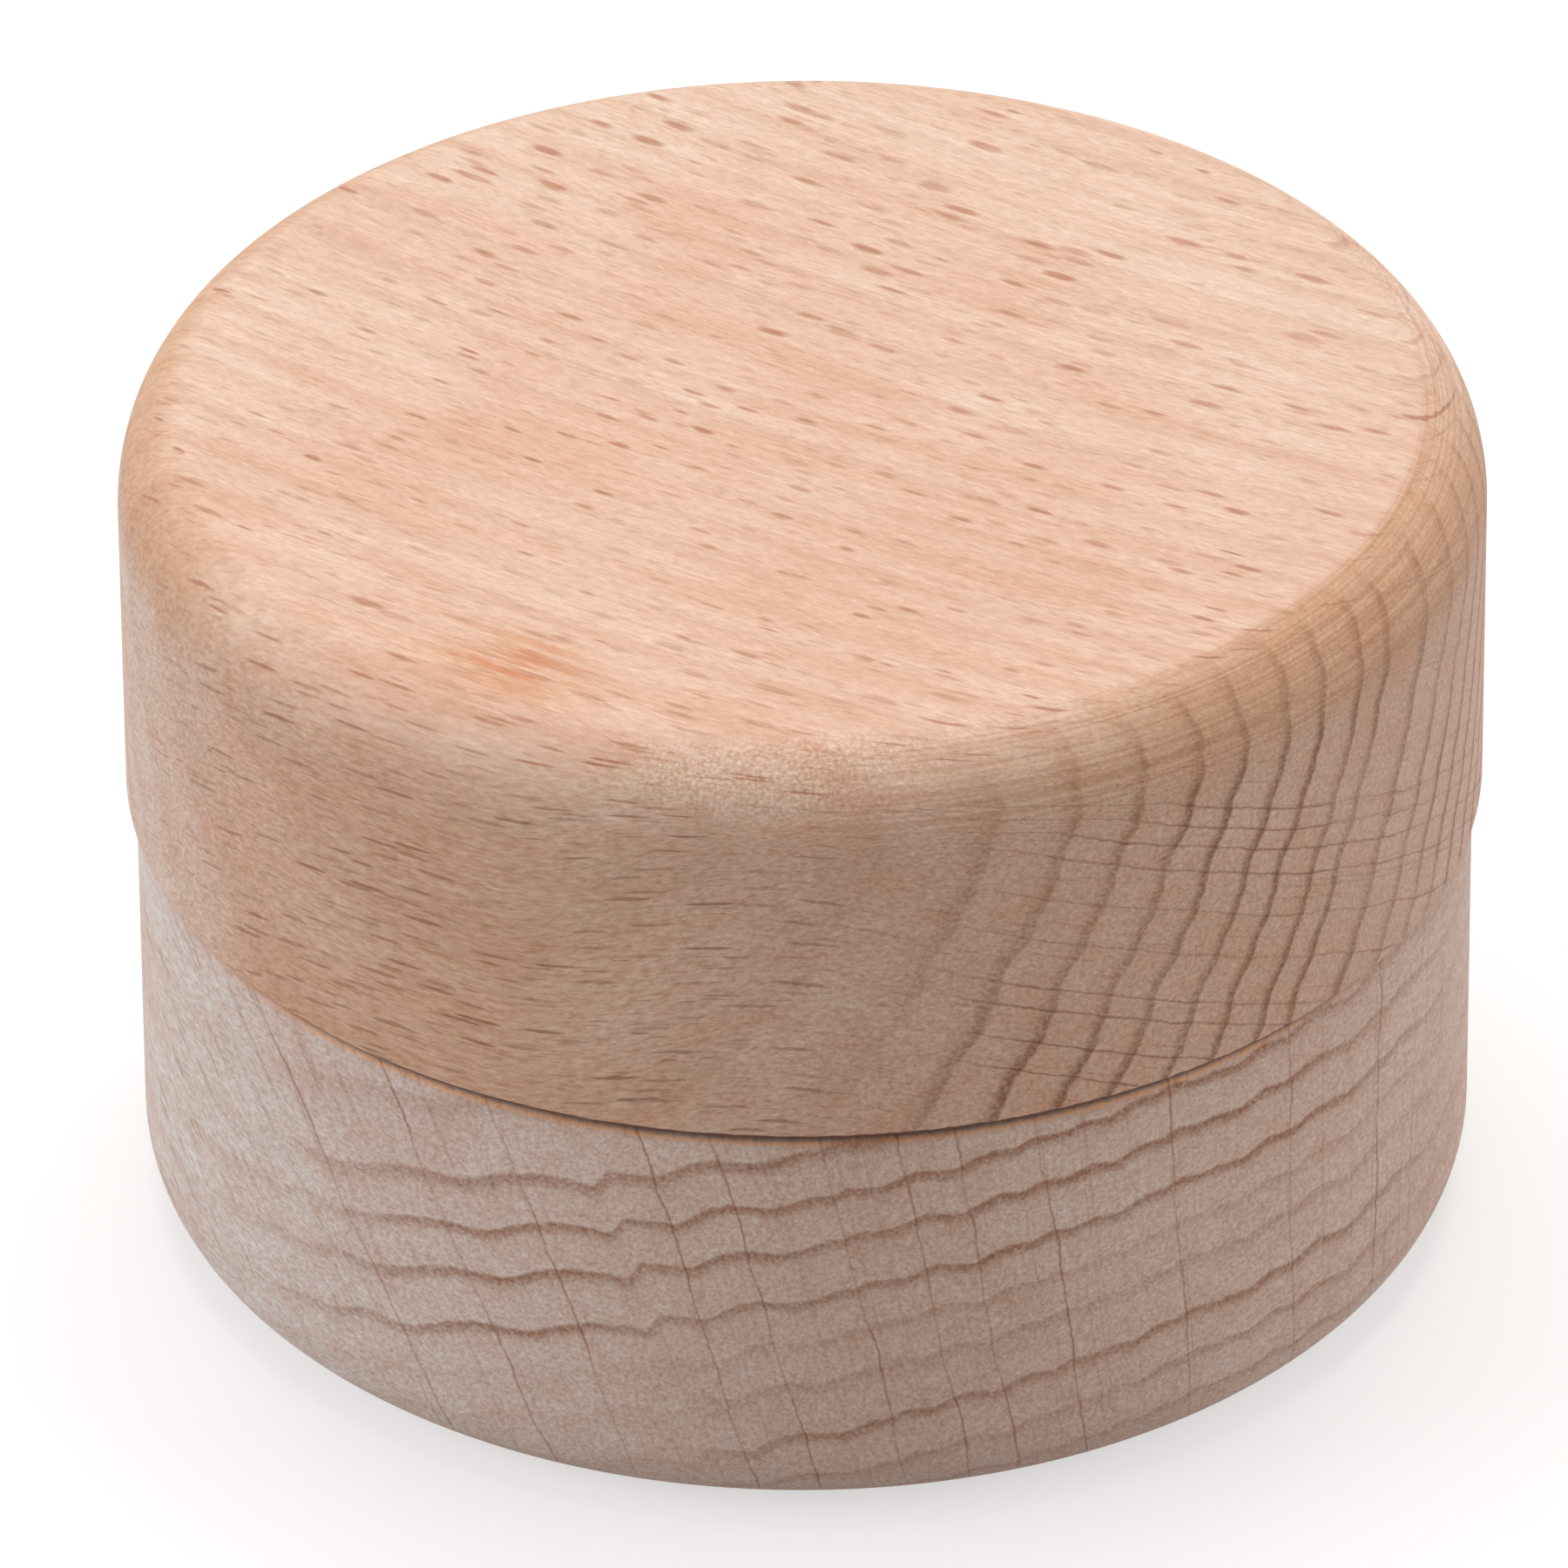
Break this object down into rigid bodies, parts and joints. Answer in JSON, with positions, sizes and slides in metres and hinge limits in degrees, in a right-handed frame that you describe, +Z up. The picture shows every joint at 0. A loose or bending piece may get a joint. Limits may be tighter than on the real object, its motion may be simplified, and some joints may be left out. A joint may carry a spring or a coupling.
{
  "type": "jewelry jar",
  "caption": "Round jewelry jar in turned beech: a lid that lifts off a spigot on the base, over a velvet pad split for a ring.",
  "frame": {"origin": "centre of the underside", "axes": "+Z up along the turning axis, the line that the lid lifts along; +X along the ring slit between the pads; -Y is the side that the picture shows"},
  "size_m": [0.056, 0.056, 0.0367],
  "materials": {
    "base_beech": "sanded beech, no gloss, end grain with growth rings and rays",
    "lid_beech": "sanded beech, no gloss, pinkish with short ray flecks",
    "velvet": "ivory velvet, short pile with a soft sheen",
    "foam": "cream open-cell foam",
    "card": "grey board, matt"
  },
  "bodies": {
    "base": {"base": "base_beech", "cushion_card": "card", "front_foam": "foam", "rear_foam": "foam", "front_velvet": "velvet", "rear_velvet": "velvet"},
    "lid": {"lid": "lid_beech", "lining_card": "card", "lining_velvet": "velvet"}
  },
  "joints": [
    {"name": "lid_lift", "type": "slide", "parent": "base", "child": "lid", "axis": [0, 0, 1], "range_m": [0, 0.045]}
  ]
}
